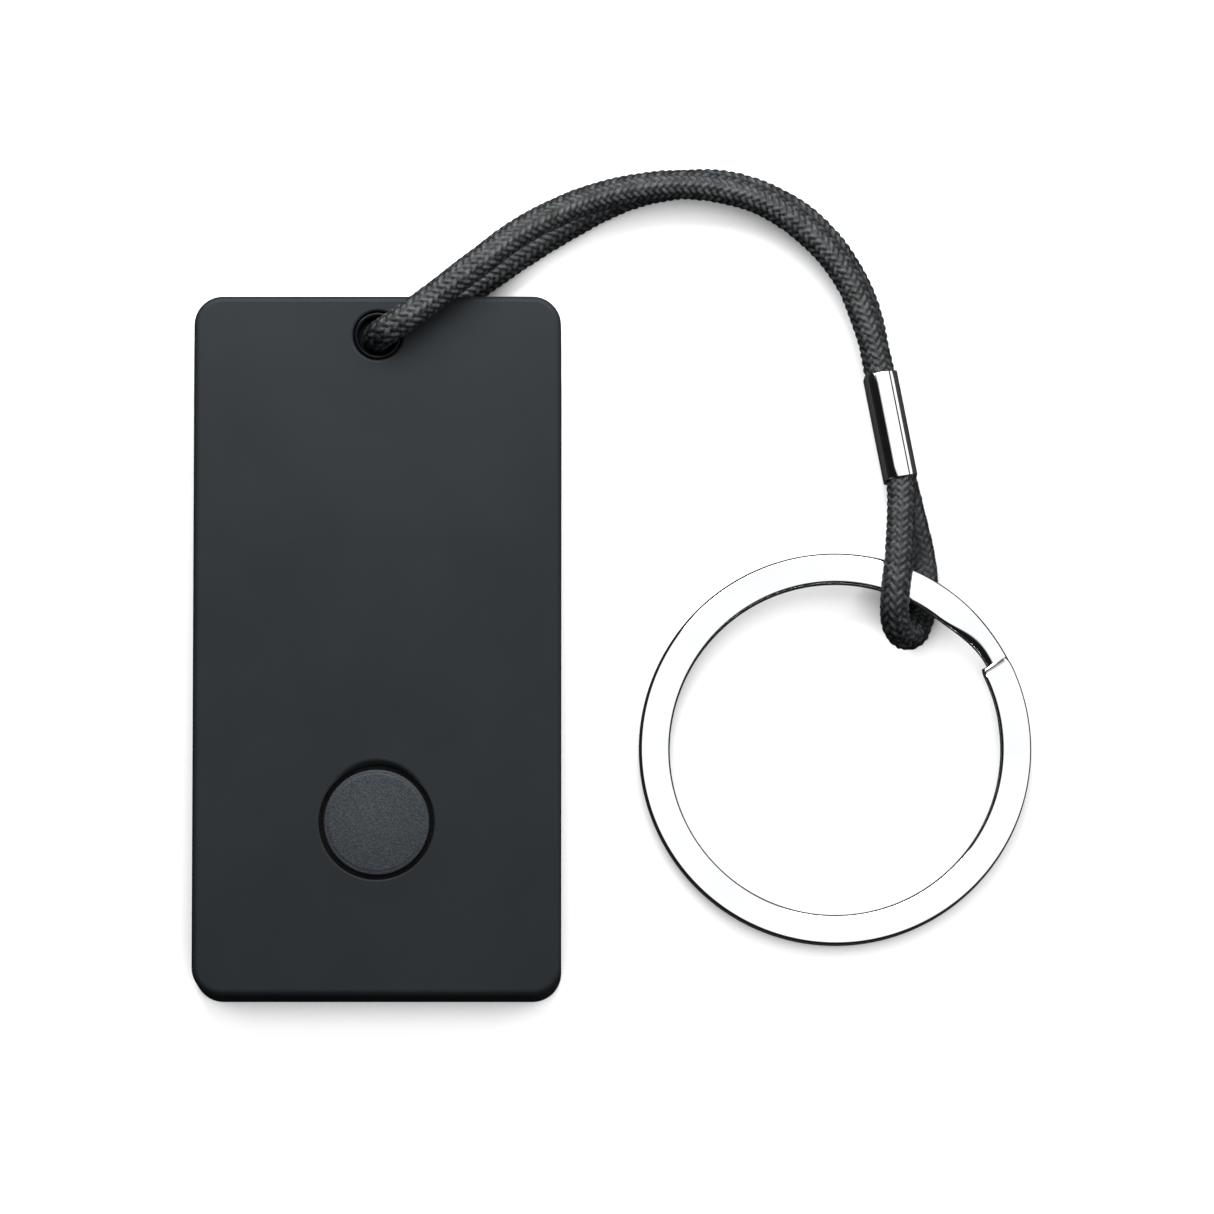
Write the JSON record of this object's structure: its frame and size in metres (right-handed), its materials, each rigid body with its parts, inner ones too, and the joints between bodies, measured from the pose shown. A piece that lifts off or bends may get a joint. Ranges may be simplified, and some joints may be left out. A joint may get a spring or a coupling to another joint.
{
  "type": "bluetooth tracker tag",
  "caption": "Flat rectangular tracker tag with a round push button on its front, a braided cord loop through an eyelet, a metal ferrule and a split key ring.",
  "frame": {"origin": "middle of the tag's flat back, where it rests, under the centre of its outline", "axes": "+Z out of the front face, +Y toward the lanyard hole, +X to the right seen from the front"},
  "size_m": [0.064, 0.0642, 0.01],
  "materials": {
    "case_plastic": "soft-touch matt dark slate grey",
    "cover_plastic": "fine matt dark grey",
    "eyelet_plastic": "polished black",
    "button_plastic": "fine-grained grey",
    "switch_plastic": "moulded black",
    "switch_steel": "stamped",
    "dome_steel": "sprung",
    "plunger_plastic": "moulded grey",
    "board_laminate": "green solder mask",
    "antenna_copper": "bare copper",
    "gold_pads": "gold plated",
    "chip_black": "moulded epoxy",
    "crystal_steel": "plated lid",
    "ferrite": "sintered ferrite",
    "capacitor_ceramic": "fired ceramic",
    "resistor_black": "coated",
    "tray_plastic": "natural moulded",
    "screw_steel": "zinc plated",
    "cell_steel": "nickel plated",
    "gasket_plastic": "moulded",
    "cathode_black": "pressed powder",
    "separator_white": "felt",
    "lithium_grey": "rolled",
    "contact_metal": "spring bronze",
    "foam_dark": "closed-cell foam",
    "buzzer_brass": "rolled",
    "buzzer_white": "fired ceramic",
    "adhesive": "tape",
    "cord_braid": "braided polyester",
    "ferrule_chrome": "polished",
    "ring_chrome": "polished"
  },
  "bodies": {
    "tag": {"front_shell": "case_plastic", "lanyard_eyelet": "eyelet_plastic", "switch_base": "switch_plastic", "switch_cover": "switch_steel", "switch_dome": "dome_steel", "circuit_board": "board_laminate", "printed_antenna": "antenna_copper", "test_pads": "gold_pads", "bluetooth_chip": "chip_black", "main_crystal": "crystal_steel", "clock_crystal": "crystal_steel", "power_inductor": "ferrite", "chip_capacitors": "capacitor_ceramic", "chip_resistors": "resistor_black", "battery_tray": "tray_plastic", "tray_screws": "screw_steel", "coin_cell_can": "cell_steel", "coin_cell_cap": "cell_steel", "coin_cell_gasket": "gasket_plastic", "coin_cell_cathode": "cathode_black", "coin_cell_separator": "separator_white", "coin_cell_lithium": "lithium_grey", "positive_clip": "contact_metal", "negative_contact": "contact_metal", "buzzer_contacts": "contact_metal"},
    "cover": {"back_cover": "cover_plastic", "foam_pad": "foam_dark", "buzzer_disc": "buzzer_brass", "buzzer_ceramic": "buzzer_white", "buzzer_adhesive": "adhesive"},
    "button": {"button_cap": "button_plastic"},
    "plunger": {"switch_plunger": "plunger_plastic"},
    "lanyard": {"lanyard_cord": "cord_braid", "cord_ferrule": "ferrule_chrome"},
    "ring": {"split_ring": "ring_chrome"}
  },
  "joints": [
    {"name": "button_press", "type": "slide", "parent": "tag", "child": "button", "axis": [0, 0, -1], "range_m": [0, 0.0002], "stiffness_N_per_m": 8000, "springref_m": -0.00003},
    {"name": "plunger_press", "type": "slide", "parent": "tag", "child": "plunger", "axis": [0, 0, -1], "range_m": [0, 0.0002], "deforming": ["switch_dome"]},
    {"name": "cover_lift", "type": "slide", "parent": "tag", "child": "cover", "axis": [0, 0, -1], "range_m": [0, 0.012]},
    {"name": "lanyard_swing", "type": "hinge", "parent": "tag", "child": "lanyard", "pos_m": [0, 0.0237, 0.005], "axis": [0, 0, 1], "range_deg": [-8, 100]},
    {"name": "ring_turn", "type": "hinge", "parent": "lanyard", "child": "ring", "pos_m": [0.03496, -0.00747, 0.00083], "axis": [-0.0226, -0.0507, 0.9985], "continuous": true}
  ],
  "couplings": [
    {"joint": "plunger_press", "follows": "button_press", "ratio": 1}
  ]
}
